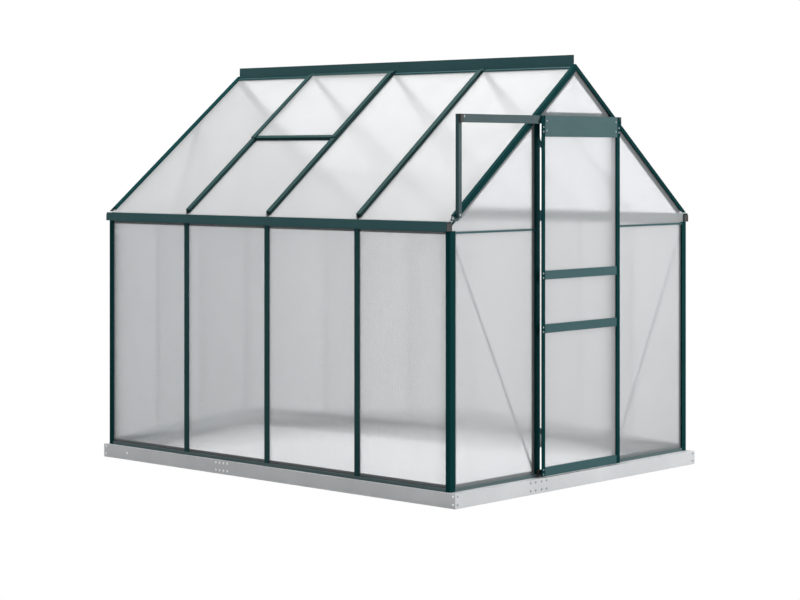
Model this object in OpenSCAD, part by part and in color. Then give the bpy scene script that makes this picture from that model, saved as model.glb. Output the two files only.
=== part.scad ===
// Small hobby greenhouse: green aluminium frame, twin-wall polycarbonate
// panels, galvanised steel base, roof vent and a top-hung sliding door.
// Millimetres, Z up. Origin at the centre of the base's underside.
// The door gable faces -Y.

/* [Base] */
// Width of the base over its outer faces
base_w = 1940; // [1600:10:2400]
// Length of the base over its outer faces
base_l = 2530; // [2000:10:3200]
// Height of the folded steel base rails
base_h = 70; // [60:1:120]
// Thickness of the base sheet
base_t = 1.5; // [1:0.5:3]
// Width of the flanges folded inwards
base_flange = 62; // [56:1:80]
// Length of the front pieces of the two long base rails
base_side_piece = 1587; // [1100:1:1900]
// Length of the left pieces of the two short base rails
base_end_piece = 620; // [400:1:900]

/* [Frame] */
// Distance of the side walls inside the base's outer faces
side_inset = 16; // [5:1:20]
// Distance of the door gable inside the base's front face
front_inset = 45; // [40:1:60]
// Distance of the back gable inside the base's back face
back_inset = 27; // [5:1:60]
// Height at which the roof plane meets the side wall plane
eave_h = 1335.5; // [1100:0.5:1800]
// Pitch of the roof in degrees
roof_pitch = 38.5; // [32:0.5:42]
// Number of glazing bays along each side
side_bays = 4; // [3:1:5]
// Shift of the inner bars from even spacing, counted from the door gable
bar_shift = [-13, 1, -8]; // [-40:1:40]
// Wall thickness of the aluminium extrusions
metal = 1.5; // [1.2:0.1:2.5]
// Width of the caps of the side studs and roof bars
bar_cap = 29; // [20:1:36]
// Width of the caps of the door posts and the back posts
post_cap = 36; // [28:1:44]
// Width of the corner posts on the side walls
corner_side = 28; // [20:1:36]
// Width of the corner posts on the gables
corner_face = 36; // [28:1:44]
// Width of the gable rafters on the roof
rafter_side = 20; // [16:1:44]
// Width of the gable rafters on the gables
rafter_face = 20; // [16:1:36]
// How deep the gable rafters' inner flanges reach below the roof's plane
rafter_depth = 46; // [30:1:60]
// Distance that the caps stand proud of the panels
proud = 7; // [4:0.5:10]
// How far the gable posts' inner flanges reach past their caps
seat_reach = 16; // [8:1:24]
// How far inner flanges reach past corner posts and rafters along the sides
side_reach = 4; // [2:1:24]

/* [Panels] */
// Thickness of the twin-wall polycarbonate
panel_t = 4; // [4:1:6]
// Clearance between a panel's faces and its slot
slot_gap = 0.3; // [0.2:0.05:0.6]

/* [Roof] */
// Height of the upright fin along the ridge
ridge_fin_h = 46; // [20:1:60]
// Width of the ridge fin
ridge_fin_w = 13; // [8:1:20]
// Half width of the ridge wings
ridge_wing = 20; // [16:1:40]
// Height of the gutter's outer face
gutter_face = 44; // [30:1:60]
// Reach of the gutter outside the side wall
gutter_reach = 22; // [16:1:24]
// Length of the roof vent down the slope
vent_l = 581; // [400:1:800]
// Height of the vent frame above the roof bars
vent_rise = 8; // [8:1:20]
// Bay that holds the vent, counted from the door gable
vent_bay = 3; // [1:1:4]

/* [Door] */
// Width of the doorway between the two posts' caps
doorway_w = 574; // [500:1:640]
// How far the closed door laps each post
door_lap = 31; // [20:1:40]
// Depth of the door's top edge below the roof over the door posts
door_head = 19; // [10:1:40]
// Gap under the door
door_gap = 5.5; // [5:0.5:12]
// Distance of the door's front behind the base's front face
door_inset = 10; // [8:1:12]
// Height of the door's rails
rail_h = 43; // [36:1:60]
// Height of the door's top plate
top_plate_h = 103; // [80:1:130]
// How far the top plate stands in front of the stiles
plate_proud = 3.5; // [2:0.5:5]
// Underside of the lower middle rail above the ground
lower_rail_z = 772.5; // [600:0.5:900]
// Underside of the upper middle rail above the ground
upper_rail_z = 1033.5; // [950:0.5:1300]
// Width of the door stiles
stile_w = 28; // [22:1:36]
// How far past the doorway the door slides open
door_overrun = 26; // [10:1:40]
// Height of the track
track_h = 40; // [36:1:50]
// Depth of the track, front to back
track_d = 12; // [12:1:14]
// Diameter of the door wheels
wheel_d = 22; // [16:1:26]

/* [Hidden] */
$fn = 48;

green = "#24504d";
dark_green = "#0f3f3d";
zinc = "#b9bcbe";
clear = "#dfe4e6";
black = "#1d1d1f";

// Planes of the walls
wx = base_w / 2 - side_inset;
fy = -base_l / 2 + front_inset;
by = base_l / 2 - back_inset;
bay = (by - fy) / side_bays;

// Depths behind a wall's or the roof's outer plane
panel_n = proud + slot_gap;
seat_n = panel_n + panel_t + slot_gap;
seat_back = seat_n + metal;
stem_w = 11;
bar_depth = 26;
fit = 0.3;

// Boxes that cut a part are larger than the part by this
over = 60;

// Roof geometry
pitch_cos = cos(roof_pitch);
pitch_sin = sin(roof_pitch);
pitch_tan = tan(roof_pitch);
apex_z = eave_h + wx * pitch_tan;
panel_end_s = (wx - 1) / pitch_cos;
rafter_foot_s = (wx - 29) / pitch_cos;
ridge_front = fy + 18;
ridge_back = by - 21;

// Heights along the walls
sill_face = 16;
sill_back = 32;
sill_floor = 40;
panel_foot = 6;
gutter_top = eave_h - 5.5;
gutter_z = gutter_top - gutter_face;
gutter_hang = 16;
gutter_lip = 4;
eave_seat_z = eave_h + seat_n * pitch_tan - (seat_n + fit) / pitch_cos;
cap_top = gutter_top - 8;
cap_t = 4;
tie_h = 9;
tie_back = 11;
tie_z = gutter_z - 14;
wall_edge = panel_n + panel_t;
panel_top_s = (ridge_fin_w / 2 + fit + wall_edge * pitch_sin) / pitch_cos;

// Gable posts
post_x = doorway_w / 2 + post_cap / 2;
corner_end = corner_side + side_reach + fit;
rafter_end = rafter_side + side_reach + fit;

// Roof vent, in the roof's own frame
vent_y0 = bar_y(vent_bay - 1);
vent_y1 = bar_y(vent_bay);
vent_s0 = (ridge_fin_w / 2 + fit) / pitch_cos;
vent_s1 = vent_s0 + vent_l;
vent_lift = fit;
vent_lap = 12;
vent_rail = 20;
vent_sill_w = 16;
vent_sill_s = vent_s1 - 12;

// Door planes
door_w = doorway_w + 2 * door_lap;
door_travel = doorway_w + door_overrun;
door_top = apex_z - post_x * pitch_tan - door_head;
door_y = -base_l / 2 + door_inset;
door_z = base_h + door_gap;
slot_d = panel_t + 2 * slot_gap;
lip_d = 5.6;
door_d = lip_d + slot_d + metal;
stile_web = 12;
plate_reach = door_w / 2 - 25;
track_z = door_top - track_h;
hanger_t = 2;
hanger_y = door_y + door_d + hanger_t / 2;
header_z = door_top - 15;
header_h = 16;
header_back = 34;
track_slot = 5;
track_left = door_w / 2 + door_travel - 8;
track_right = door_w / 2 + 22;
cap_l = 18;
hanger_x = door_w / 2 - 64;
wheel_gap = 0.2;
wheel_t = track_d / 2 - metal - fit - hanger_t / 2 - wheel_gap;
axle_d = 6;
wheel_z = track_z + metal + fit + wheel_d / 2;
post_d = fy - fit - (hanger_y + track_d / 2);
run_gap = 5;
guide_w = 18;
guide_h = 22;
support_w = 21.5;
support_d = 20;
support_x = track_left + 2;
support_lap = 22;
// Corners of its foot plate, from where its middle meets the roof's plane
foot_plate = [[-50, -27], [-34, -47], [-1, -46], [25, -18]];

// ---- Placing helpers ----

// Both sides of the building
module both_sides() {
    children();
    mirror([1, 0, 0]) children();
}

// From the door gable's plane to the back gable's plane
module at_back() {
    translate([0, fy + by, 0]) mirror([0, 1, 0]) children();
}

// A section drawn as (depth inwards, height), run along the left wall
module run_side(y0, y1) {
    translate([-wx, y1, 0]) rotate([90, 0, 0]) linear_extrude(y1 - y0) children();
}

// A section drawn as (depth inwards, height), run along the door gable
module run_gable(x0, x1, y = fy) {
    translate([x0, y, 0]) rotate([90, 0, 90]) linear_extrude(x1 - x0) children();
}

// The left roof slope's own frame: x down the slope, y as ever, z inwards
module left_slope() {
    translate([0, 0, apex_z]) rotate([0, 180 - roof_pitch, 0]) children();
}

// A section drawn as (y, depth inwards), run down the left slope
module run_slope(s0, s1, y = 0) {
    left_slope() translate([s0, y, 0]) rotate([90, 0, 90]) linear_extrude(s1 - s0) children();
}

// Everything under both slopes, from a depth below the roof's outer plane
module under_roof(depth, y0, y1) {
    top = apex_z - depth / pitch_cos;
    low = top - 2 * wx * pitch_tan;
    translate([0, y1, 0]) rotate([90, 0, 0]) linear_extrude(y1 - y0)
        polygon([[0, top], [2 * wx, low], [2 * wx, -1], [-2 * wx, -1], [-2 * wx, low]]);
}

// Place of bar i along the building, from 0 at the door gable
function bar_y(i) = fy + i * bay + (i > 0 && i < side_bays && i <= len(bar_shift) ? bar_shift[i - 1] : 0);

// Rectangle by its two corners
module rect(x0, y0, x1, y1) {
    translate([x0, y0]) square([x1 - x0, y1 - y0]);
}

// ---- Extrusion sections ----

// Glazing bar: lipped cap, stem with bolt channel, and seats for two panels.
// u runs across the bar and v goes inwards.
module bar_section(cap, reach_left = 0, reach_right = 0) {
    half = cap / 2;
    rect(-half, 0, half, metal);
    for (side = [-1, 1]) scale([side, 1]) {
        rect(half - metal, 0, half, proud);
        rect(stem_w / 2 - metal, 0, stem_w / 2, bar_depth);
        rect(stem_w / 2 - metal - 2, bar_depth - metal, stem_w / 2, bar_depth);
    }
    rect(-half - reach_left, seat_n, half + reach_right, seat_back);
}

// Corner angle: a flange of width side along u and one of width face along v,
// with seats for both panels that reach past the flanges
module angle_section(side, face, side_reach, face_reach) {
    rect(0, 0, side, metal);
    rect(0, 0, metal, face);
    rect(side - metal, 0, side, proud);
    rect(0, face - metal, proud, face);
    rect(0, seat_n, side + side_reach, seat_back);
    rect(seat_n, seat_n, seat_back, face + face_reach);
}

// Sill: outer face, lip over the panel's foot and a ledge under the panel
module sill_front_section() {
    translate([0, base_h]) {
        rect(0, 0, wall_edge, metal);
        rect(0, 0, metal, sill_face);
        rect(0, sill_face - metal, proud, sill_face);
    }
}

// The whole sill, with its floor and a taller back wall
module sill_section() {
    sill_front_section();
    translate([0, base_h]) {
        rect(0, 0, sill_floor, metal);
        rect(seat_n, 0, seat_back, sill_back);
        rect(proud - 1, panel_foot - metal, seat_back, panel_foot);
    }
}

// Tie bar between a corner post and the next post
module tie_section(face_h, back_h) {
    rect(0, 0, metal, face_h);
    rect(0, 0, proud, metal);
    rect(0, face_h - metal, proud, face_h);
    rect(seat_n, 0, seat_back, back_h);
    rect(0, face_h / 2 - metal / 2, seat_back, face_h / 2 + metal / 2);
}

// Folded steel base rail
module base_section() {
    rect(0, 0, base_t, base_h);
    rect(0, 0, base_flange, base_t);
    rect(0, base_h - base_t, base_flange, base_h);
}

// Trough of the gutter with its curled lip
module trough_section() {
    curl = 6;
    curl_h = 5;
    rect(-gutter_reach, gutter_z, seat_back, gutter_z + metal);
    rect(-gutter_reach, gutter_z, metal - gutter_reach, gutter_top);
    rect(-gutter_reach, gutter_top - metal, curl - gutter_reach, gutter_top);
    rect(curl - metal - gutter_reach, gutter_top - curl_h, curl - gutter_reach, gutter_top);
    polygon([
        [seat_n, gutter_z], [seat_n, eave_seat_z],
        [seat_back, eave_seat_z + metal * pitch_tan], [seat_back, gutter_z]
    ]);
}

// Lip of the gutter over the wall panels' top edges
module gutter_lip_section() {
    rect(proud - metal, gutter_z - gutter_lip, proud, gutter_z + metal);
}

// Back wall of the gutter behind the wall panels
module gutter_hang_section() {
    rect(seat_n, gutter_z - gutter_hang, seat_back, gutter_z + metal);
}

// Height of a point under the roof, by its distance from the ridge and its depth
function roof_z(x, n) = apex_z - n / pitch_cos - x * pitch_tan;

// Hollow fin that stands over the meeting roof planes, drawn as (x, z)
module ridge_fin_section() {
    half = ridge_fin_w / 2;
    top = apex_z + ridge_fin_h;
    difference() {
        polygon([
            [-half, roof_z(half, -fit)], [-half, top], [half, top],
            [half, roof_z(half, -fit)], [0, roof_z(0, -fit)]
        ]);
        rect(metal - half, roof_z(0, -fit - metal), half - metal, top - metal);
    }
}

// Strip of the ridge between two distances from it and two depths
module ridge_strip(x0, x1, n0, n1) {
    polygon([
        [x0, roof_z(x0, n0)], [x1, roof_z(x1, n0)],
        [x1, roof_z(x1, n1)], [x0, roof_z(x0, n1)]
    ]);
}

// Walls below the fin, and wings that lie on the panels with a lip along them
module ridge_wing_section() {
    half = ridge_fin_w / 2;
    for (side = [-1, 1]) scale([side, 1]) {
        ridge_strip(half - metal, half, -fit - metal, proud);
        ridge_strip(half - metal, ridge_wing, proud - metal, proud);
        ridge_strip(ridge_wing - metal, ridge_wing, metal + fit, proud);
    }
}

// Stem and inner wings of the ridge, which seat the roof panels' top edges
module ridge_stem_section() {
    half = ridge_fin_w / 2;
    foot = 6;
    low = roof_z(ridge_wing, seat_n);
    for (side = [-1, 1]) scale([side, 1]) {
        polygon([
            [half - metal, low], [half - metal, roof_z(half - metal, proud - metal)],
            [half, roof_z(half, proud - metal)], [half, low]
        ]);
        ridge_strip(half - metal, ridge_wing, seat_n, seat_back);
    }
    rect(-half - foot, low - metal, half + foot, low);
}

// Door stile: u from the door's edge inwards, v from its front backwards
module stile_section() {
    rect(0, 0, stile_w, metal);
    rect(stile_web, 0, stile_web + metal, door_d);
    rect(stile_web, door_d - metal, stile_w, door_d);
    rect(stile_w - metal, 0, stile_w, lip_d);
}

// Door rail, drawn as (depth backwards, height)
module rail_section() {
    rect(0, 0, metal, rail_h);
    rect(door_d - metal, 0, door_d, rail_h);
    for (z = [stile_web, rail_h - stile_web - metal]) rect(0, z, door_d, z + metal);
    rect(0, 0, lip_d, metal);
    rect(0, rail_h - metal, lip_d, rail_h);
}

// Top rail: a channel for the panel, hung behind a tall plate
module top_rail_section() {
    rect(0, 0, metal, rail_h);
    rect(door_d - metal, 0, door_d, rail_h);
    for (z = [stile_web, rail_h - stile_web - metal])
        rect(-plate_proud, z, door_d, z + metal);
    rect(-plate_proud, 0, lip_d, metal);
}

// Plate with short returns along its edges
module top_plate_section() {
    rect(-plate_proud, 0, metal - plate_proud, top_plate_h);
    rect(-plate_proud, 0, -fit, metal);
    rect(-plate_proud, top_plate_h - metal, -fit, top_plate_h);
}

// ---- Base ----

module base_side_rails() {
    y0 = -base_l / 2;
    split = y0 + base_side_piece;
    color(zinc) translate([-base_w / 2 + wx, 0, 0]) {
        run_side(y0, split) base_section();
        run_side(split, base_l / 2) base_section();
    }
}

module base_left_rails() base_side_rails();

module base_right_rails() mirror([1, 0, 0]) base_side_rails();

// Web between the side rails' webs, flanges between the side rails' flanges
module base_end_piece_at(x0, x1) {
    edge = base_w / 2;
    run_gable(max(x0, -edge + base_t), min(x1, edge - base_t), -base_l / 2)
        rect(0, base_t, base_t, base_h - base_t);
    run_gable(max(x0, -edge + base_flange), min(x1, edge - base_flange), -base_l / 2)
        base_section();
}

module base_front_rails() {
    split = -base_w / 2 + base_end_piece;
    color(zinc) {
        base_end_piece_at(-base_w / 2, split);
        base_end_piece_at(split, base_w / 2);
    }
}

module base_back_rails() rotate([0, 0, 180]) base_front_rails();

plate_t = 2;
plate_h = 60;
splice_l = 150;
corner_leg = 60;

module side_splice() {
    y = -base_l / 2 + base_side_piece;
    translate([-base_w / 2 + base_t, y - splice_l / 2, (base_h - plate_h) / 2])
        cube([plate_t, splice_l, plate_h]);
}

module end_splice() {
    x = -base_w / 2 + base_end_piece;
    translate([x - splice_l / 2, -base_l / 2 + base_t, (base_h - plate_h) / 2])
        cube([splice_l, plate_t, plate_h]);
}

module corner_plate() {
    translate([-base_w / 2 + base_t, -base_l / 2 + base_t, (base_h - plate_h) / 2]) {
        cube([plate_t, corner_leg, plate_h]);
        cube([corner_leg, plate_t, plate_h]);
    }
}

module base_joint_plates() color(zinc) {
    both_sides() side_splice();
    end_splice();
    rotate([0, 0, 180]) end_splice();
    both_sides() {
        corner_plate();
        mirror([0, 1, 0]) corner_plate();
    }
}

// ---- Wall frame ----

module side_sills() color(green) both_sides() {
    run_side(fy + corner_side + fit, by - corner_side - fit) sill_front_section();
    run_side(fy + corner_end, by - corner_end) sill_section();
}

module front_sill() {
    reach = wx - corner_face - fit;
    run_gable(-reach, reach) sill_front_section();
    run_gable(seat_reach - reach, reach - seat_reach) sill_section();
}

module gable_sills() color(green) {
    front_sill();
    at_back() front_sill();
}

module corner_post() {
    translate([-wx, fy, base_h]) linear_extrude(gutter_z - fit - base_h)
        mirror([1, -1, 0]) angle_section(corner_side, corner_face, side_reach, seat_reach);
}

module front_corner_posts() color(dark_green) both_sides() corner_post();

module back_corner_posts() color(dark_green) at_back() both_sides() corner_post();

// Upright bar whose back is notched over the sill and under the gutter
module stud(y) {
    z0 = base_h + sill_face;
    difference() {
        translate([-wx, y, z0]) linear_extrude(gutter_z - z0)
            rotate([0, 0, -90]) bar_section(bar_cap);
        translate([-wx + wall_edge, y - over / 2, 0])
            cube([over, over, base_h + sill_back + fit]);
        translate([-wx + wall_edge, y - over / 2, gutter_z - gutter_hang - fit])
            cube([over, over, over]);
        translate([-wx + metal, y - over / 2, gutter_z - gutter_lip - fit])
            cube([over, over, over]);
    }
}

module side_studs() {
    for (i = [1 : side_bays - 1]) stud(bar_y(i));
}

module left_studs() color(green) side_studs();

module right_studs() color(green) mirror([1, 0, 0]) side_studs();

// Gable post at the left of the doorway, cut to fit under the rafter
module gable_post() {
    z0 = base_h + sill_face;
    difference() {
        intersection() {
            translate([-post_x, fy, z0]) linear_extrude(apex_z - z0)
                bar_section(post_cap, seat_reach, 0);
            under_roof(rafter_face + fit, fy - 1, fy + over);
        }
        translate([-post_x - over, fy + wall_edge, 0])
            cube([2 * over, over, base_h + sill_back + fit]);
        difference() {
            translate([-post_x - over, fy + wall_edge, z0]) cube([2 * over, over, apex_z]);
            under_roof(rafter_depth + fit, fy - 1, fy + 2 * over);
        }
    }
}

module door_posts() color(dark_green) both_sides() gable_post();

module back_posts() color(dark_green) at_back() both_sides() gable_post();

// ---- Eaves and gables ----

module gutter() {
    run_side(fy + cap_t, by - cap_t / 2) trough_section();
    run_side(fy + corner_side + fit, by - corner_side - fit) gutter_lip_section();
    run_side(fy + corner_end, by - corner_end) gutter_hang_section();
}

module left_gutter() color(green) gutter();

module right_gutter() color(green) mirror([1, 0, 0]) gutter();

// Dished plate that closes a gutter's end, with a plug inside the trough
module gutter_cap() {
    plug = 8;
    rim = 4;
    dish = 1.5;
    difference() {
        run_side(fy, fy + cap_t) rect(-gutter_reach, gutter_z, seat_back, cap_top);
        run_side(fy - 1, fy + dish)
            rect(rim - gutter_reach, gutter_z + rim, seat_back - rim, cap_top - 2 * rim);
    }
    run_side(fy + cap_t, fy + cap_t + plug) rect(
        fit + metal - gutter_reach, gutter_z + metal + fit,
        seat_n - fit, gutter_z + gutter_face / 2);
}

module gutter_end_caps() color(black) both_sides() {
    gutter_cap();
    translate([0, cap_t / 2, 0]) at_back() gutter_cap();
}

// Tie from a corner post to the next post, cut short behind the panels
module corner_tie() {
    edge_x = -wx + corner_face + fit;
    cap_x = -post_x - post_cap / 2 - fit;
    difference() {
        translate([0, 0, tie_z]) run_gable(edge_x, cap_x) tie_section(tie_h, tie_back);
        for (x = [edge_x + seat_reach - over, cap_x - seat_reach])
            translate([x, fy + wall_edge, 0]) cube([over, over, apex_z]);
    }
}

// Cross bar over the doorway, cut to fit between the rafters
module header() {
    reach = doorway_w / 2 - fit;
    difference() {
        intersection() {
            translate([0, 0, header_z]) run_gable(-reach, reach)
                tie_section(header_h, header_back);
            under_roof(rafter_face + fit, fy - 1, fy + over);
        }
        difference() {
            translate([-post_x, fy + wall_edge, 0]) cube([2 * post_x, over, apex_z]);
            under_roof(rafter_depth + fit, fy - 1, fy + 2 * over);
        }
    }
}

module front_tie_bars() color(green) {
    both_sides() corner_tie();
    header();
}

module back_tie_bars() color(green) at_back() {
    both_sides() corner_tie();
    translate([0, 0, tie_z]) run_gable(-doorway_w / 2 + fit, doorway_w / 2 - fit)
        tie_section(tie_h, tie_back);
}

// Gable rafter, cut upright where the pair meets. Its gable flange runs on to
// a point above the gutter's end.
module rafter() {
    foot_gap = 4;
    intersection() {
        union() {
            run_slope(0, rafter_foot_s, fy)
                angle_section(rafter_side, rafter_face, side_reach, rafter_depth - rafter_face);
            run_slope(0, rafter_foot_s + over, fy) rect(0, 0, metal, rafter_face);
        }
        translate([-2 * wx, fy - 1, gutter_top + foot_gap])
            cube([2 * wx - fit, 2 * over, apex_z]);
    }
}

module front_rafters() color(dark_green) both_sides() rafter();

module back_rafters() color(dark_green) at_back() both_sides() rafter();

// Roof bar, cut upright at the gutter's back wall and at the ridge fin. Only
// its cap crosses the ridge's wing.
module roof_bar(y) {
    foot_x = wx - seat_back - fit;
    head_x = ridge_fin_w / 2 + fit;
    difference() {
        intersection() {
            run_slope(0, panel_end_s + over, y) bar_section(bar_cap);
            translate([-foot_x, y - over / 2, 0]) cube([foot_x - head_x, over, 2 * apex_z]);
        }
        intersection() {
            translate([-ridge_wing - fit, y - over / 2, 0]) cube([over, over, 2 * apex_z]);
            under_roof(metal, y - over / 2, y + over / 2);
        }
    }
}

module roof_bars() {
    for (i = [1 : side_bays - 1]) roof_bar(bar_y(i));
}

module left_roof_bars() color(green) roof_bars();

module right_roof_bars() color(green) mirror([1, 0, 0]) roof_bars();

// A section drawn as (x, z), run along the ridge
module run_ridge(y0, y1) {
    translate([0, y1, 0]) rotate([90, 0, 0]) linear_extrude(y1 - y0) children();
}

module ridge_beam() color(green) {
    run_ridge(ridge_front, ridge_back) ridge_fin_section();
    run_ridge(fy + rafter_side + fit, by - rafter_side - fit) ridge_wing_section();
    run_ridge(fy + rafter_end, by - rafter_end) ridge_stem_section();
}

// Flat strip from the top of a corner post to the foot of the next post
module gable_brace() {
    x0 = -wx + corner_face + 4;
    x1 = -post_x - post_cap / 2 - seat_reach / 2;
    z0 = tie_z - 40;
    z1 = base_h + sill_back + 10;
    strip_w = 12;
    strip_t = 2;
    run = [x1 - x0, z1 - z0];
    translate([x0, fy + seat_back + fit, z0]) rotate([0, atan2(-run[1], run[0]), 0])
        translate([0, 0, -strip_w / 2]) cube([norm(run), strip_t, strip_w]);
}

module gable_braces() color(zinc) {
    both_sides() gable_brace();
    at_back() both_sides() gable_brace();
}

// ---- Roof vent ----

// Flat ring on the left slope, given by its outer corners and its width
module slope_ring(s0, y0, s1, y1, w, n0, n1) {
    left_slope() translate([0, 0, n0]) linear_extrude(n1 - n0) difference() {
        rect(s0, y0, s1, y1);
        rect(s0 + w, y0 + w, s1 - w, y1 - w);
    }
}

vent_top_n = -vent_lift - vent_rise;
vent_panel_n = vent_top_n + metal + slot_gap;

module vent_frame() color(green) {
    y0 = vent_y0 - vent_lap;
    y1 = vent_y1 + vent_lap;
    shelf_n = vent_panel_n + panel_t + slot_gap;
    slope_ring(vent_s0, y0, vent_s1, y1, vent_rail, vent_top_n, vent_top_n + metal);
    slope_ring(vent_s0, y0, vent_s1, y1, metal, vent_top_n, -vent_lift);
    slope_ring(vent_s0, y0, vent_s1, y1, vent_rail, shelf_n, shelf_n + metal);
}

module vent_panel() color(clear) {
    edge = metal + fit;
    left_slope() translate([
        vent_s0 + edge, vent_y0 - vent_lap + edge, vent_panel_n
    ]) cube([
        vent_l - 2 * edge, vent_y1 - vent_y0 + 2 * (vent_lap - edge), panel_t
    ]);
}

// Cross bar under the vent's lower edge, which holds the panel below it
module vent_sill_bar() color(green) {
    y0 = vent_y0 + bar_cap / 2 + fit;
    y1 = vent_y1 - bar_cap / 2 - fit;
    left_slope() translate([vent_sill_s, y1, 0]) rotate([90, 0, 0])
        linear_extrude(y1 - y0) {
            rect(0, 0, vent_sill_w, metal);
            rect(vent_sill_w - metal, 0, vent_sill_w, proud);
            rect(0, 0, metal, seat_back);
            rect(0, seat_n, vent_sill_w, seat_back);
        }
}

// ---- Panels ----

stem_gap = stem_w / 2 + 1;
angle_gap = seat_back + fit;

// Ends of bay i between its two bars, from 0 at the door gable
function bay_start(i) = i == 0 ? fy + angle_gap : bar_y(i) + stem_gap;
function bay_end(i) = i == side_bays - 1 ? by - angle_gap : bar_y(i + 1) - stem_gap;

module wall_panels() {
    z0 = base_h + panel_foot + fit;
    for (i = [0 : side_bays - 1])
        translate([-wx + panel_n, bay_start(i), z0])
            cube([panel_t, bay_end(i) - bay_start(i), gutter_z - fit - z0]);
}

module left_wall_panels() color(clear) wall_panels();

module right_wall_panels() color(clear) mirror([1, 0, 0]) wall_panels();

module roof_panel(i, s0) {
    left_slope() translate([s0, bay_start(i), panel_n])
        cube([panel_end_s - s0, bay_end(i) - bay_start(i), panel_t]);
}

module left_roof_panels() color(clear)
    for (i = [0 : side_bays - 1])
        roof_panel(i, i == vent_bay - 1 ? vent_sill_s + metal + fit : panel_top_s);

module right_roof_panels() color(clear) mirror([1, 0, 0])
    for (i = [0 : side_bays - 1]) roof_panel(i, panel_top_s);

// Gable sheets stay this far below the rafters' inner flanges
sheet_gap = 2;

// Sheet in a gable between two heights, cut along the rafters' slots
module gable_sheet(x0, x1, z0, z1) {
    intersection() {
        translate([x0, fy + panel_n, z0]) cube([x1 - x0, panel_t, z1 - z0]);
        under_roof(seat_back + sheet_gap, fy, fy + over);
    }
}

module corner_sheets() {
    outer = -wx + 2 * corner_face / 3;
    inner = -post_x - stem_gap;
    mid = tie_z + tie_h / 2;
    gap = metal / 2 + fit;
    gable_sheet(outer, inner, base_h + panel_foot + fit, mid - gap);
    gable_sheet(-wx + seat_back + sheet_gap, inner, mid + gap, apex_z);
}

module front_gable_panels() color(clear) {
    half = post_x - stem_gap;
    both_sides() corner_sheets();
    gable_sheet(-half, half, header_z + header_h / 2 + metal / 2 + fit, apex_z);
}

module back_gable_panels() color(clear) at_back() {
    half = post_x - stem_gap;
    mid = tie_z + tie_h / 2;
    gap = metal / 2 + fit;
    both_sides() corner_sheets();
    gable_sheet(-half, half, base_h + panel_foot + fit, mid - gap);
    gable_sheet(-half, half, mid + gap, apex_z);
}

// ---- Door track ----

// Box track with a slot along its underside, drawn as (depth, height)
module track_section() {
    difference() {
        rect(-track_d / 2, 0, track_d / 2, track_h);
        rect(metal - track_d / 2, metal, track_d / 2 - metal, track_h - metal);
        rect(-track_slot / 2, -1, track_slot / 2, metal + 1);
    }
}

module door_track() color(green)
    translate([0, 0, track_z])
        run_gable(-track_left + cap_l, track_right - cap_l, hanger_y) track_section();

// Solid cap with a plug that fits in the track
module track_cap() {
    plug = 8;
    translate([0, 0, track_z]) {
        run_gable(-track_left, -track_left + cap_l, hanger_y)
            rect(-track_d / 2, 0, track_d / 2, track_h);
        run_gable(-track_left + cap_l, -track_left + cap_l + plug, hanger_y) rect(
            metal + fit - track_d / 2, metal + fit,
            track_d / 2 - metal - fit, track_h - metal - fit);
    }
}

module track_end_caps() color(black) {
    track_cap();
    translate([track_right - track_left, 0, 0]) mirror([1, 0, 0]) track_cap();
}

// Square tube from the rafter's foot to the track's left end. It stands on a
// plate in front of the rafter, and its back half ends above the roof.
module track_support_post() color(green) {
    foot = apex_z - support_x * pitch_tan - support_lap;
    foot_t = 2;
    y0 = hanger_y + track_d / 2;
    difference() {
        translate([-support_x, y0, foot]) cube([support_w, support_d, track_z + track_h - foot]);
        translate([metal - support_x, y0 + metal, foot - 1])
            cube([support_w - 2 * metal, support_d - 2 * metal, apex_z]);
        under_roof(-fit, fy - fit, fy + over);
    }
    mid_x = support_w / 2 - support_x;
    translate([mid_x, fy - fit, apex_z + mid_x * pitch_tan]) rotate([90, 0, 0])
        linear_extrude(foot_t) polygon(foot_plate);
}

module track_brackets() color(green) both_sides() {
    bracket_w = 28;
    edge = 4;
    h = track_h - 2 * edge;
    translate([-post_x - bracket_w / 2, fy - fit - post_d, track_z + edge]) {
        cube([bracket_w, metal, h]);
        translate([0, post_d - metal, 0]) cube([bracket_w, metal, h]);
        cube([metal, post_d, h]);
    }
}

// Block on the post's foot that keeps the door from swinging inwards
module door_guide() color(black)
    translate([-post_x - guide_w / 2, door_y + door_d + run_gap, door_z + 8])
        cube([guide_w, fy - fit - (door_y + door_d + run_gap), guide_h]);

// ---- Door ----

module door_stiles() color(dark_green) both_sides() {
    step_z = track_z - 7;
    translate([-door_w / 2, door_y, door_z]) linear_extrude(step_z - door_z) stile_section();
    translate([-door_w / 2, door_y, step_z]) cube([stile_w, metal, door_top - step_z]);
}

rail_reach = door_w / 2 - stile_w;

module door_rails() color(green)
    for (z = [door_z, lower_rail_z, upper_rail_z])
        translate([0, 0, z]) run_gable(-rail_reach, rail_reach, door_y) rail_section();

module door_top_rail() color(green) translate([0, 0, door_top - top_plate_h]) {
    run_gable(-rail_reach, rail_reach, door_y) top_rail_section();
    run_gable(-plate_reach, plate_reach, door_y) top_plate_section();
}

// Block in front of a stile's top, beside the plate, with a wider head
module door_corner_block() {
    block_h = 80;
    head_h = 18;
    head_reach = 7;
    top = door_top - 18;
    w = door_w / 2 - plate_reach - fit;
    translate([-door_w / 2, door_y - plate_proud, top - block_h])
        cube([w, plate_proud, block_h]);
    translate([-door_w / 2 - head_reach, door_y - plate_proud, top - head_h])
        cube([w + head_reach, plate_proud, head_h]);
}

module door_corner_blocks() color(black) both_sides() door_corner_block();

// A panel reaches this far into the rails above and below it
panel_bite = stile_web - 2;

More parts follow.
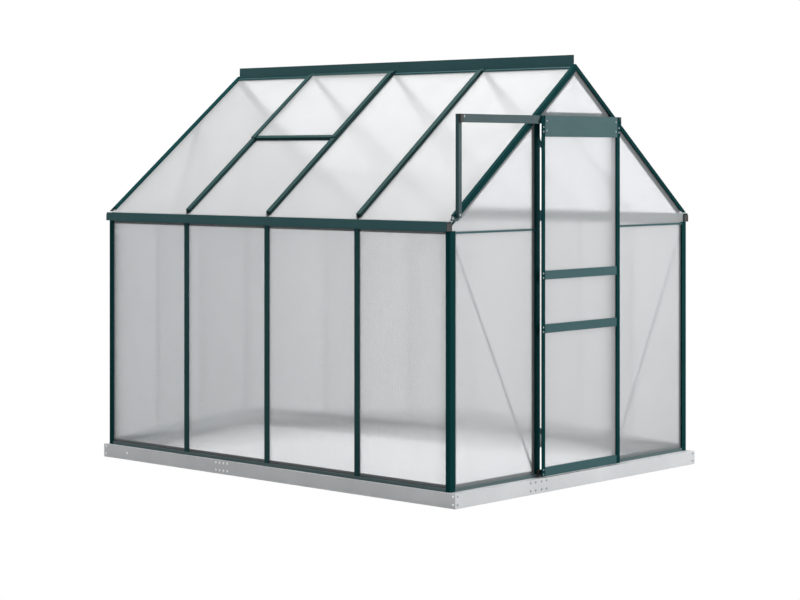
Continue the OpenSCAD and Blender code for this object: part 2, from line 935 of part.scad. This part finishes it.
module door_panels() color(clear) {
    reach = door_w / 2 - stile_web - metal - 2;
    feet = [door_z, lower_rail_z, upper_rail_z];
    heads = [lower_rail_z, upper_rail_z, door_top - top_plate_h];
    for (i = [0 : 2])
        translate([-reach, door_y + lip_d + slot_gap, feet[i] + rail_h - panel_bite])
            cube([2 * reach, panel_t, heads[i] - feet[i] - rail_h + 2 * panel_bite]);
}

// Flat hanger behind the top rail, with an axle for a pair of wheels
module door_hanger() {
    w = 40;
    z0 = door_top - top_plate_h + 4;
    translate([-hanger_x - w / 2, hanger_y - hanger_t / 2, z0])
        cube([w, hanger_t, track_z - 4 - z0]);
    translate([-hanger_x - 10, hanger_y - hanger_t / 2, track_z - 4])
        cube([20, hanger_t, wheel_z + 8 - track_z + 4]);
    axle_l = hanger_t + 2 * (wheel_t + wheel_gap);
    translate([-hanger_x, hanger_y + axle_l / 2, wheel_z]) rotate([90, 0, 0])
        cylinder(d = axle_d, h = axle_l);
}

module door_hangers() color(zinc) both_sides() door_hanger();

module door_wheels() color(black) both_sides()
    for (side = [-1, 1])
        translate([
            -hanger_x, hanger_y + side * (hanger_t / 2 + wheel_gap + wheel_t / 2), wheel_z
        ]) rotate([90, 0, 0]) difference() {
            cylinder(d = wheel_d, h = wheel_t, center = true);
            cylinder(d = axle_d + 2 * wheel_gap, h = wheel_t + 2, center = true);
        }

// ---- Nodes ----

base_left_rails();
base_right_rails();
base_front_rails();
base_back_rails();
base_joint_plates();
side_sills();
gable_sills();
front_corner_posts();
back_corner_posts();
left_studs();
right_studs();
door_posts();
back_posts();
left_gutter();
right_gutter();
gutter_end_caps();
front_tie_bars();
back_tie_bars();
front_rafters();
back_rafters();
left_roof_bars();
right_roof_bars();
ridge_beam();
gable_braces();
vent_frame();
vent_panel();
vent_sill_bar();
left_wall_panels();
right_wall_panels();
left_roof_panels();
right_roof_panels();
front_gable_panels();
back_gable_panels();
door_track();
track_end_caps();
track_support_post();
track_brackets();
door_guide();
door_stiles();
door_rails();
door_top_rail();
door_panels();
door_hangers();
door_wheels();
door_corner_blocks();
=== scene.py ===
"""Polycarbonate greenhouse: finishes, fastenings, studio and camera."""
import math

import bmesh
import bpy
from mathutils import Matrix, Vector


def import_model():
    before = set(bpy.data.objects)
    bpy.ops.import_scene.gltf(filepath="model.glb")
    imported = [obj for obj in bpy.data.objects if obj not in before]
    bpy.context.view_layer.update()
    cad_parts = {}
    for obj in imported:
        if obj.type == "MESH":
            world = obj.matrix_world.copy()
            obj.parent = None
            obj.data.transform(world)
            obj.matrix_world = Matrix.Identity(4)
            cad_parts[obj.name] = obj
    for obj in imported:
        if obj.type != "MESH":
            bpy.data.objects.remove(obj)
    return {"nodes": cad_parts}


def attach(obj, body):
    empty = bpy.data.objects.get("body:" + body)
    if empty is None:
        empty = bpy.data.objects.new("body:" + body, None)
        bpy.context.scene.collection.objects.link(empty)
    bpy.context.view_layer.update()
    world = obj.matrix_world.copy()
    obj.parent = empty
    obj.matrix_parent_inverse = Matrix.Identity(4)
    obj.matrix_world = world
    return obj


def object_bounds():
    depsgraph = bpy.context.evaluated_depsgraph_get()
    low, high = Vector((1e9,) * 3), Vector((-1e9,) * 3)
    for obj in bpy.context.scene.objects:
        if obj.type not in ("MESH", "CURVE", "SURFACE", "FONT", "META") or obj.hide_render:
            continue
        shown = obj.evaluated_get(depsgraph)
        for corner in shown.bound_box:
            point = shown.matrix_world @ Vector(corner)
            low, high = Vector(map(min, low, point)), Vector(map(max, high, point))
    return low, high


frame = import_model()
nodes = frame["nodes"]
cad_low, cad_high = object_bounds()
scene = bpy.context.scene

FIXED, DOOR = "greenhouse", "door"


# ---------------------------------------------------------------- materials

class Tree:
    """A material's node tree, with short calls for the nodes used here."""

    def __init__(self, name):
        self.material = bpy.data.materials.new(name)
        self.material.use_nodes = True
        self.tree = self.material.node_tree
        self.tree.nodes.clear()
        self.out = self.add("ShaderNodeOutputMaterial")

    def add(self, kind, **values):
        node = self.tree.nodes.new(kind)
        for key, value in values.items():
            setattr(node, key, value)
        return node

    def feed(self, socket, value):
        """Links a socket, or sets a plain value."""
        if isinstance(value, bpy.types.NodeSocket):
            self.tree.links.new(value, socket)
        else:
            socket.default_value = value

    def math(self, operation, a, b=0.0):
        node = self.add("ShaderNodeMath", operation=operation)
        self.feed(node.inputs[0], a)
        self.feed(node.inputs[1], b)
        return node.outputs[0]

    def vector(self, operation, a, b=(0, 0, 0)):
        node = self.add("ShaderNodeVectorMath", operation=operation)
        self.feed(node.inputs[0], a)
        if operation != "NORMALIZE":
            self.feed(node.inputs[1], b)
        return node.outputs[0]

    def position(self, scale=(1, 1, 1)):
        """The point in the piece's own frame, stretched by scale."""
        place = self.add("ShaderNodeTexCoord").outputs["Object"]
        return self.vector("MULTIPLY", place, scale)

    def noise(self, scale, detail=3.0, stretch=(1, 1, 1)):
        node = self.add("ShaderNodeTexNoise")
        self.feed(node.inputs["Vector"], self.position(stretch))
        node.inputs["Scale"].default_value = scale
        node.inputs["Detail"].default_value = detail
        return node.outputs["Fac"]

    def spread(self, value, low, high, from_low=0.3, from_high=0.7):
        node = self.add("ShaderNodeMapRange")
        self.feed(node.inputs["Value"], value)
        for name, number in zip(
            ("From Min", "From Max", "To Min", "To Max"), (from_low, from_high, low, high)
        ):
            node.inputs[name].default_value = number
        return node.outputs["Result"]

    def blend(self, factor, a, b):
        """A colour between a and b."""
        node = self.add("ShaderNodeMix", data_type="RGBA")
        self.feed(node.inputs["Factor"], factor)
        self.feed(node.inputs["A"], (*a, 1.0))
        self.feed(node.inputs["B"], (*b, 1.0))
        return node.outputs["Result"]

    def bump(self, height, distance, strength=1.0):
        node = self.add("ShaderNodeBump")
        node.inputs["Strength"].default_value = strength
        node.inputs["Distance"].default_value = distance
        self.feed(node.inputs["Height"], height)
        return node.outputs["Normal"]

    def principled(self, **values):
        node = self.add("ShaderNodeBsdfPrincipled")
        for key, value in values.items():
            self.feed(node.inputs[key.replace("_", " ")], value)
        return node

    def finish(self, shader):
        self.tree.links.new(shader.outputs[0], self.out.inputs["Surface"])
        return self.material


def powder_coat(name, dark, light, roughness, specular):
    """Satin powder coating: fine orange peel and a slow drift of tone."""
    t = Tree(name)
    tone = t.spread(t.noise(3.0, 2.0), 0.0, 1.0)
    peel = t.noise(900.0, 2.0)
    gloss = t.spread(t.noise(40.0, 3.0), roughness - 0.05, roughness + 0.05)
    return t.finish(t.principled(
        Base_Color=t.blend(tone, dark, light),
        Roughness=gloss,
        Specular_IOR_Level=specular,
        Normal=t.bump(peel, 0.00012, 0.6),
    ))


def galvanised(name, dark=(0.405, 0.415, 0.425), light=(0.465, 0.475, 0.485)):
    """Zinc-coated sheet with a faint spangle."""
    t = Tree(name)
    spangle = t.add("ShaderNodeTexVoronoi")
    t.feed(spangle.inputs["Vector"], t.position())
    spangle.inputs["Scale"].default_value = 90.0
    grain = t.spread(spangle.outputs["Color"], 0.0, 1.0, 0.0, 1.0)
    cloud = t.spread(t.noise(6.0, 4.0), 0.0, 1.0)
    tone = t.math("ADD", t.math("MULTIPLY", grain, 0.3), t.math("MULTIPLY", cloud, 0.7))
    return t.finish(t.principled(
        Base_Color=t.blend(tone, dark, light),
        Roughness=t.spread(grain, 0.45, 0.6, 0.0, 1.0),
        Metallic=0.25,
        Specular_IOR_Level=0.4,
        Normal=t.bump(cloud, 0.0003, 0.2),
    ))


def black_plastic(name):
    """Moulded caps, with a fine spark-eroded grain."""
    t = Tree(name)
    grain = t.noise(1500.0, 2.0)
    tone = t.spread(t.noise(30.0, 2.0), 0.0, 1.0)
    return t.finish(t.principled(
        Base_Color=t.blend(tone, (0.018, 0.018, 0.018), (0.032, 0.029, 0.029)),
        Roughness=t.spread(grain, 0.5, 0.65),
        Specular_IOR_Level=0.2,
        Normal=t.bump(grain, 0.0001, 0.5),
    ))


FLUTE_PITCH = 0.006
SHEET_IOR = 1.3
LAMP_THROUGH = 0.86


def colour(red, green, blue, factor=1.0):
    """A node colour, with all three channels scaled by factor."""
    return (red * factor, green * factor, blue * factor, 1.0)


def twin_wall(
    name, across, tilt, milkiness, clear=0.955, frost=0.3, blur=0.08, cool=0.006,
    pale=1.0,
):
    """Frosted twin-wall sheet. Its flutes run at right angles to across,
    bend what is seen through them and leave it sharp along their length.

    tilt is how far the flutes turn the normal, milkiness the share of the
    sheet that scatters, frost the share of that which is its skin, clear and
    cool the colour of what passes, and pale the brightness of the scatter."""
    t = Tree(name)
    along = t.add("ShaderNodeVectorMath", operation="DOT_PRODUCT")
    t.feed(along.inputs[0], t.add("ShaderNodeTexCoord").outputs["Object"])
    t.feed(along.inputs[1], across)
    phase = t.math("MULTIPLY", along.outputs["Value"], 2 * math.pi / FLUTE_PITCH)
    wave = t.math("SINE", phase)
    normal = t.add("ShaderNodeNewGeometry").outputs["Normal"]
    sideways = t.add("ShaderNodeCombineXYZ")
    for socket, part in zip(sideways.inputs, across):
        t.feed(socket, t.math("MULTIPLY", wave, part * tilt))
    ribbed = t.vector("NORMALIZE", t.vector("ADD", normal, sideways.outputs[0]))

    see = t.add("ShaderNodeBsdfRefraction")
    see.inputs["IOR"].default_value = SHEET_IOR
    see.inputs["Roughness"].default_value = blur
    see.inputs["Color"].default_value = colour(clear, clear + 0.5 * cool, clear + cool)
    t.feed(see.inputs["Normal"], ribbed)

    haze = t.add("ShaderNodeBsdfTranslucent")
    haze.inputs["Color"].default_value = colour(0.88, 0.883, 0.888, pale)
    skin = t.principled(
        Base_Color=colour(0.80, 0.803, 0.808, pale), Roughness=0.35, Specular_IOR_Level=0.3,
    )
    milk = t.add("ShaderNodeMixShader")
    milk.inputs["Fac"].default_value = frost
    t.tree.links.new(haze.outputs[0], milk.inputs[1])
    t.tree.links.new(skin.outputs[0], milk.inputs[2])
    both = t.add("ShaderNodeMixShader")
    both.inputs["Fac"].default_value = milkiness
    t.tree.links.new(see.outputs[0], both.inputs[1])
    t.tree.links.new(milk.outputs[0], both.inputs[2])
    lamp = t.add("ShaderNodeBsdfTransparent")
    lamp.inputs["Color"].default_value = colour(LAMP_THROUGH, LAMP_THROUGH, LAMP_THROUGH)
    lit = t.add("ShaderNodeMixShader")
    t.feed(lit.inputs["Fac"], t.add("ShaderNodeLightPath").outputs["Is Shadow Ray"])
    t.tree.links.new(both.outputs[0], lit.inputs[1])
    t.tree.links.new(lamp.outputs[0], lit.inputs[2])
    return t.finish(lit)


def paint(material, *names):
    """Gives the CAD nodes a material in place of their own."""
    for name in names:
        slots = nodes[name].data.materials
        slots.clear()
        slots.append(material)


# The real frame has one green paint. These six copies of it differ in tint and gloss as painted
# light and shade: each is set lighter or darker for the light that falls on its parts.
UPRIGHT = powder_coat("upright_green", (0.0007, 0.024, 0.026), (0.002, 0.030, 0.031), 0.5, 0.012)
STUD = powder_coat("stud_green", (0.008, 0.036, 0.039), (0.012, 0.044, 0.046), 0.5, 0.05)
ROOF_BAR = powder_coat("roof_bar_green", (0.010, 0.034, 0.034), (0.014, 0.041, 0.041), 0.5, 0.05)
SILL = powder_coat("sill_green", (0.058, 0.092, 0.096), (0.068, 0.104, 0.108), 0.45, 0.15)
RAIL = powder_coat("rail_green", (0.018, 0.062, 0.067), (0.023, 0.070, 0.076), 0.45, 0.12)
TRACK = powder_coat("track_green", (0.018, 0.044, 0.048), (0.023, 0.052, 0.056), 0.45, 0.12)
ZINC = galvanised("galvanised_steel")
SCREW = galvanised("screw_steel", (0.26, 0.29, 0.30), (0.31, 0.34, 0.35))
# Near-white zinc for the base's side bolts: a painted highlight, the glint on their heads.
ZINC_GLINT = galvanised("zinc_painted_glint", (0.78, 0.79, 0.80), (0.86, 0.87, 0.88))
BLACK = black_plastic("black_plastic")
ALONG_Y = (0.0, 1.0, 0.0)
ALONG_X = (1.0, 0.0, 0.0)
# The real sheets are alike. These four differ to come near the photo's tones.
# Their differing brightness is painted light and shade: each copy is set brighter or darker for
# the light that falls on its side.
SIDE_SHEET = twin_wall(
    "side_twin_wall", ALONG_Y, tilt=0.36, milkiness=0.21, clear=0.883, blur=0.08, cool=0.018,
)
FAR_SHEET = twin_wall("far_twin_wall", ALONG_Y, tilt=0.33, milkiness=0.22)
ROOF_SHEET = twin_wall(
    "roof_twin_wall", ALONG_Y, tilt=0.14, milkiness=0.46, frost=0.32, blur=0.14, pale=0.88,
)
GABLE_SHEET = twin_wall(
    "gable_twin_wall", ALONG_X, tilt=0.25, milkiness=0.31, clear=0.938, blur=0.12,
    cool=0.022, pale=0.93,
)

paint(
    UPRIGHT, "front_corner_posts", "back_corner_posts", "door_posts", "back_posts",
    "front_rafters", "back_rafters", "door_stiles", "door_corner_blocks",
)
paint(STUD, "left_studs", "right_studs")
paint(ROOF_BAR, "left_roof_bars", "right_roof_bars", "vent_frame", "vent_sill_bar")
paint(SILL, "side_sills", "gable_sills")
paint(
    RAIL, "left_gutter", "right_gutter", "front_tie_bars", "back_tie_bars",
    "ridge_beam", "door_rails", "door_top_rail",
)
paint(TRACK, "door_track", "track_support_post", "track_brackets")
paint(
    ZINC, "base_left_rails", "base_right_rails", "base_front_rails",
    "base_back_rails", "base_joint_plates", "gable_braces", "door_hangers",
)
paint(BLACK, "gutter_end_caps", "track_end_caps", "door_guide", "door_wheels")
paint(SIDE_SHEET, "left_wall_panels")
paint(FAR_SHEET, "right_wall_panels")
paint(ROOF_SHEET, "left_roof_panels", "right_roof_panels", "vent_panel")
paint(GABLE_SHEET, "front_gable_panels", "back_gable_panels", "door_panels")


# -------------------------------------------- fastenings, roof covers and strips

# Outer faces that the bolts sit on
BASE_SIDE_X, BASE_END_Y = 0.970, 1.265
DOOR_FRONT, PLATE_FRONT, TRACK_FRONT, POST_FRONT = -1.255, -1.2585, -1.2483, -1.2363
FOOT_FRONT, FRAME_FRONT, FRAME_BACK = -1.2223, -1.220, 1.238
# Base: heights of the two rows, then places along the sides and the ends
BASE_BOLT_ROWS = (0.0185, 0.0575)
SIDE_BOLT_Y = (0.282, 0.311, 0.340, 0.368, -1.252, 1.247)
SIDE_SINGLE_BOLT = (1.072, 0.036)
END_SPLICE_X = (-0.414, -0.376, -0.330, -0.292)
END_CORNER_X = (-0.953, 0.953)
BOLT_SIDES = 12


def add_piece(name, shape, material, body):
    """Turns a bmesh into a piece that rides on a body."""
    bmesh.ops.recalc_face_normals(shape, faces=shape.faces)
    data = bpy.data.meshes.new(name)
    shape.to_mesh(data)
    shape.free()
    data.materials.append(material)
    obj = bpy.data.objects.new(name, data)
    scene.collection.objects.link(obj)
    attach(obj, body)
    return obj


def add_bolt(shape, place, outward, radius=0.005, height=0.0022):
    """A washer and a pan head with a hexagon socket, seated at place."""
    sides = BOLT_SIDES
    turn = Vector(outward).to_track_quat("Z", "Y").to_matrix().to_4x4()
    matrix = Matrix.Translation(place) @ turn
    washer = 0.2 * height
    socket = 0.42 * radius
    profile = (
        (1.25 * radius, 0.0), (1.25 * radius, washer), (radius, washer),
        (0.97 * radius, 0.62 * height), (0.8 * radius, 0.92 * height),
        (0.5 * radius, height), (socket, height), (socket, 0.5 * height),
    )
    rings = []
    for step, (r, z) in enumerate(profile):
        ring = []
        for k in range(sides):
            angle = 2 * math.pi * k / sides
            flat = math.cos(math.pi / 6) if step > 5 and k % 2 else 1.0
            point = Vector((r * flat * math.cos(angle), r * flat * math.sin(angle), z))
            ring.append(shape.verts.new(matrix @ point))
        rings.append(ring)
    for lower, upper in zip(rings, rings[1:]):
        for k in range(sides):
            n = (k + 1) % sides
            shape.faces.new((lower[k], lower[n], upper[n], upper[k]))
    shape.faces.new(rings[0])
    shape.faces.new(rings[-1])


def bolts(name, material, body, seats, radius=0.005, height=0.0022):
    """Bolts at a list of (place, outward)."""
    shape = bmesh.new()
    for place, outward in seats:
        add_bolt(shape, place, outward, radius, height)
    return add_piece(name, shape, material, body)


LEFT, RIGHT, FRONT, BACK = (-1, 0, 0), (1, 0, 0), (0, -1, 0), (0, 1, 0)


def base_bolts():
    """Two rows over each splice and at each corner, and one bolt near the back."""
    sides, ends = [], []
    for z in BASE_BOLT_ROWS:
        for side, way in ((-1, LEFT), (1, RIGHT)):
            x = side * BASE_SIDE_X
            for y in SIDE_BOLT_Y:
                sides.append(((x, y, z), way))
        for side, way in ((-1, FRONT), (1, BACK)):
            y = side * BASE_END_Y
            for x in END_SPLICE_X:
                ends.append(((-side * x, y, z), way))
            for x in END_CORNER_X:
                ends.append(((x, y, z), way))
    for side, way in ((-1, LEFT), (1, RIGHT)):
        sides.append(((side * BASE_SIDE_X, *SIDE_SINGLE_BOLT), way))
    # The side bolts carry the painted glint; the end bolts take the darker screw steel.
    bolts("base_side_bolts", ZINC_GLINT, FIXED, sides)
    bolts("base_end_bolts", SCREW, FIXED, ends)


def frame_bolts():
    """The track's end, the support's foot, and the right front post's foot,
    where the photo has faint marks that may be bolts."""
    seats = [
        ((-0.886, TRACK_FRONT, 1.8215), FRONT),
        ((-0.938, FOOT_FRONT, 1.3445), FRONT),
        ((-0.901, POST_FRONT, 1.360), FRONT),
    ]
    bolts("track_bolts", SCREW, FIXED, seats, radius=0.0048, height=0.0026)
    seats = [((0.936, FRAME_FRONT, z), FRONT) for z in (0.100, 0.132)]
    bolts(
        "post_bolts", UPRIGHT, FIXED, seats,
        radius=0.004, height=0.002,
    )


def door_bolts():
    """The plate's corners, the corner blocks, and a pair at each rail's left end.
    The photo shows none on the right stile."""
    seats = []
    for side in (-1, 1):
        for z in (1.759, 1.807):
            seats.append(((side * 0.281, PLATE_FRONT, z), FRONT))
        for z in (1.754, 1.776):
            seats.append(((side * 0.3065, PLATE_FRONT, z), FRONT))
    for z in (0.086, 0.108, 0.779, 0.801, 1.042, 1.064):
        seats.append(((-0.303, DOOR_FRONT, z), FRONT))
    bolts("door_bolts", SCREW, DOOR, seats, radius=0.0034, height=0.0020)


PITCH = math.radians(38.5)
EAVE_Z, WALL_X = 1.3355, 0.954
APEX_Z = EAVE_Z + WALL_X * math.tan(PITCH)
BAR_HALF = 0.0145
BAR_Y = (-0.6185, 0.010, 0.6155)
COVER_START = 0.034
RAFTER_FACE = 0.0203


def roof_matrix(side):
    """Slope frame: x down the slope, y along the ridge, z out of the roof."""
    down = Vector((side * math.cos(PITCH), 0, -math.sin(PITCH)))
    out = Vector((side * math.sin(PITCH), 0, math.cos(PITCH)))
    along = Vector((0, 1, 0))
    matrix = Matrix((down, along, out)).transposed().to_4x4()
    matrix.translation = (0, 0, APEX_Z)
    return matrix


def cover_profile(top, foot_front, foot_back):
    """Section (y, height) of a cover: a shallow channel with rounded shoulders."""
    wall, soft = 0.0015, 0.0018
    h = BAR_HALF
    outer = [
        (-h, foot_front), (-h, top - soft), (-h + 0.3 * soft, top - 0.3 * soft),
        (-h + soft, top), (h - soft, top), (h - 0.3 * soft, top - 0.3 * soft),
        (h, top - soft), (h, foot_back),
    ]
    inner = [
        (h - wall, foot_back), (h - wall, top - wall),
        (-h + wall, top - wall), (-h + wall, foot_front),
    ]
    return outer + inner


def add_cover(shape, matrix, y, start, end, profile):
    """Runs a section down the slope from start to end, with both ends closed."""
    ends = []
    for s in (start, end):
        ends.append([shape.verts.new(matrix @ Vector((s, y + u, n))) for u, n in profile])
    count = len(profile)
    for k in range(count):
        n = (k + 1) % count
        shape.faces.new((ends[0][k], ends[0][n], ends[1][n], ends[1][k]))
    for ring in ends:
        shape.faces.new(ring)


def add_end_plug(shape, matrix, y, at, top, foot):
    """The plug that closes a cover's lower end, a little inside its walls."""
    inset, thick = 0.0017, 0.003
    half = BAR_HALF - inset
    low, high = foot, top - inset
    points = []
    for s in (at - thick, at - 0.0005):
        for u, n in ((-half, low), (half, low), (half, high), (-half, high)):
            points.append(shape.verts.new(matrix @ Vector((s, y + u, n))))
    sides = ((0, 1, 5, 4), (1, 2, 6, 5), (2, 3, 7, 6), (3, 0, 4, 7))
    for face in ((0, 1, 2, 3), (4, 5, 6, 7), *sides):
        shape.faces.new([points[k] for k in face])


def left_rafter_strip():
    """Strip below the left front rafter's face, plumb at its ends and cut for
    the door post. It is a guess, made for a dark band that the photo has there,
    which may be the rafter's inner flange seen through the sheet."""
    near, far, soft = RAFTER_FACE, 0.0300, 0.0015
    face, seat = 0.0010, 0.0071
    section = (
        (near, face), (far - soft, face), (far, face + soft), (far, seat), (near, seat),
    )
    gap, post_in, post_out, foot_x = 0.0004, 0.300, 0.3395, 0.935
    slope, rise = math.cos(PITCH), math.sin(PITCH)
    shape = bmesh.new()
    for x0, x1 in ((gap, post_in), (post_out, foot_x)):
        ends = []
        for x in (x0, x1):
            ring = []
            for n, depth in section:
                s = (x + n * rise) / slope
                z = APEX_Z - s * rise - n * slope
                ring.append(shape.verts.new((-x, FRAME_FRONT + depth, z)))
            ends.append(ring)
        count = len(section)
        for k in range(count):
            n = (k + 1) % count
            shape.faces.new((ends[0][k], ends[0][n], ends[1][n], ends[1][k]))
        for ring in ends:
            shape.faces.new(ring)
    add_piece("left_rafter_strip", shape, UPRIGHT, FIXED)


def roof_covers():
    """Covers over the roof bars, 10 mm tall, and 15 mm beside the vent. Both
    heights are estimates from how thick the bars look in the photo."""
    seat, tall = 0.0003, 0.0100
    vent_top, vent_tall = 0.0091, 0.0060
    start, end = COVER_START, 1.1985
    vent_end, play = 0.595, 0.0005
    for side, name in ((-1, "left_roof_bar_covers"), (1, "right_roof_bar_covers")):
        matrix = roof_matrix(side)
        shape = bmesh.new()
        for i, y in enumerate(BAR_Y):
            first = start
            if side < 0 and i > 0:
                first = vent_end
                high = vent_top + vent_tall
                outer_foot, inner_foot = seat, vent_top
                feet = (outer_foot, inner_foot) if i == 1 else (inner_foot, outer_foot)
                add_cover(shape, matrix, y, start, vent_end - play, cover_profile(high, *feet))
                add_end_plug(shape, matrix, y, vent_end - play, high, vent_top)
            add_cover(shape, matrix, y, first, end, cover_profile(tall, seat, seat))
            add_end_plug(shape, matrix, y, end, tall, seat)
        add_piece(name, shape, ROOF_BAR, FIXED)


def back_rafter_strips():
    """Strips on the roof sheets along the back rafters. They are a guess, made
    for a dark edge that the photo has on the left, which may be the rafter's
    inner flange seen through the sheet. The right one mirrors the left."""
    low, high, soft = -0.0071, -0.0002, 0.0012
    edge, reach, end = FRAME_BACK - RAFTER_FACE, 0.0105, 1.198
    section = (
        (edge, low), (edge, high), (edge - reach + soft, high),
        (edge - reach, high - soft), (edge - reach, low),
    )
    shape = bmesh.new()
    for side in (-1, 1):
        add_cover(shape, roof_matrix(side), 0.0, COVER_START, end, section)
    add_piece("back_rafter_strips", shape, UPRIGHT, FIXED)


base_bolts()
frame_bolts()
door_bolts()
left_rafter_strip()
back_rafter_strips()
roof_covers()


# ------------------------------------------------------------------- studio

FLOOR_HALF = 60.0
# Under the building the floor's glow drops to INDOOR_GLOW: painted shade.
OUTDOOR_PAPER, INDOOR_PAPER, INDOOR_GLOW = 0.34, 0.6, 0.5


def floor():
    """A white floor that shows paper-white and gives back part of it as light.
    Under the building it looks darker and gives back more, for the photo's
    grey interior: its glow there is cut to INDOOR_GLOW, a painted shade for
    the building's shadow on the floor, and its paper is brighter."""
    half = FLOOR_HALF
    data = bpy.data.meshes.new("floor")
    corners = [(-half, -half, 0), (half, -half, 0), (half, half, 0), (-half, half, 0)]
    data.from_pydata(corners, [], [(0, 1, 2, 3)])
    obj = bpy.data.objects.new("floor", data)
    scene.collection.objects.link(obj)
    t = Tree("floor")
    glow = t.add("ShaderNodeEmission")
    glow.inputs["Color"].default_value = (1.0, 1.0, 1.0, 1.0)
    paper = t.add("ShaderNodeBsdfDiffuse")
    tone = t.spread(t.noise(0.5, 2.0), 0.0, 1.0)
    place = t.add("ShaderNodeSeparateXYZ")
    t.feed(place.inputs[0], t.add("ShaderNodeTexCoord").outputs["Object"])
    under = t.math(
        "MULTIPLY",
        t.math("LESS_THAN", t.math("ABSOLUTE", place.outputs["X"]), cad_high[0]),
        t.math("LESS_THAN", t.math("ABSOLUTE", place.outputs["Y"]), cad_high[1]),
    )
    pale = t.math("ADD", t.math("MULTIPLY", tone, 0.1), t.math("MULTIPLY", under, 0.9))
    dim, bright = (OUTDOOR_PAPER,) * 3, (INDOOR_PAPER,) * 3
    t.feed(paper.inputs["Color"], t.blend(pale, dim, bright))
    # Painted shade: the glow falls from 1.0 outside to INDOOR_GLOW under the building.
    t.feed(glow.inputs["Strength"], t.spread(under, 1.0, INDOOR_GLOW, 0.0, 1.0))
    indoors = t.add("ShaderNodeAddShader")
    t.tree.links.new(glow.outputs[0], indoors.inputs[0])
    t.tree.links.new(paper.outputs[0], indoors.inputs[1])
    seen = t.add("ShaderNodeMixShader")
    t.feed(seen.inputs["Fac"], under)
    t.tree.links.new(glow.outputs[0], seen.inputs[1])
    t.tree.links.new(indoors.outputs[0], seen.inputs[2])
    shown = t.add("ShaderNodeMixShader")
    t.feed(shown.inputs["Fac"], t.add("ShaderNodeLightPath").outputs["Is Diffuse Ray"])
    t.tree.links.new(seen.outputs[0], shown.inputs[1])
    t.tree.links.new(paper.outputs[0], shown.inputs[2])
    data.materials.append(t.finish(shown))


def area_light(name, place, target, size, power):
    """A round lamp at place, turned towards target."""
    data = bpy.data.lights.new(name, "AREA")
    data.shape = "DISK"
    data.size = size
    data.energy = power
    obj = bpy.data.objects.new(name, data)
    obj.location = place
    direction = Vector(target) - Vector(place)
    obj.rotation_euler = direction.to_track_quat("-Z", "Y").to_euler()
    scene.collection.objects.link(obj)


def world():
    """White all round. It lights surfaces less than it shows, as a studio does
    whose white walls stand far off."""
    made = bpy.data.worlds.new("studio")
    scene.world = made
    made.use_nodes = True
    tree = made.node_tree
    tree.nodes.clear()
    path = tree.nodes.new("ShaderNodeLightPath")
    fill = tree.nodes.new("ShaderNodeMix")
    fill.inputs["A"].default_value = 1.0
    fill.inputs["B"].default_value = 0.5
    after = tree.nodes.new("ShaderNodeMath")
    after.operation = "GREATER_THAN"
    after.inputs[1].default_value = 0.5  # true from the first diffuse bounce on
    tree.links.new(path.outputs["Diffuse Depth"], after.inputs[0])
    tree.links.new(after.outputs[0], fill.inputs["Factor"])
    sky = tree.nodes.new("ShaderNodeBackground")
    sky.inputs["Color"].default_value = (1.0, 1.0, 1.0, 1.0)
    tree.links.new(fill.outputs["Result"], sky.inputs["Strength"])
    out = tree.nodes.new("ShaderNodeOutputWorld")
    tree.links.new(sky.outputs[0], out.inputs["Surface"])


# The photo's frame in pixels, its focal length and the height of its horizon
FRAME_W, FRAME_H = 800.0, 600.0
FOCAL, HORIZON = 2083.0, 155.9


def camera():
    """The photo's own camera. It looks level, so its shift sets the horizon."""
    data = bpy.data.cameras.new("camera")
    data.sensor_width = 36.0
    data.lens = FOCAL / FRAME_W * data.sensor_width
    data.shift_y = -(FRAME_H / 2 - HORIZON) / FRAME_W
    data.clip_start = 0.1
    data.clip_end = 300.0
    obj = bpy.data.objects.new("camera", data)
    obj.location = (-8.251, -7.581, 1.636)
    obj.rotation_euler = (math.radians(90.0), 0.0, math.radians(-47.54))
    scene.collection.objects.link(obj)
    scene.camera = obj


floor()
world()
area_light("top", (0.0, 0.5, 9.0), (0, 0, 0.5), 7.0, 1500.0)
area_light("front", (8.5, -11.5, 4.5), (0, 0, 1.0), 6.0, 1800.0)
camera()
scene.view_settings.view_transform = "Standard"
scene.cycles.caustics_refractive = False
scene.cycles.diffuse_bounces = 8
scene.cycles.transmission_bounces = 16
scene.cycles.max_bounces = 20
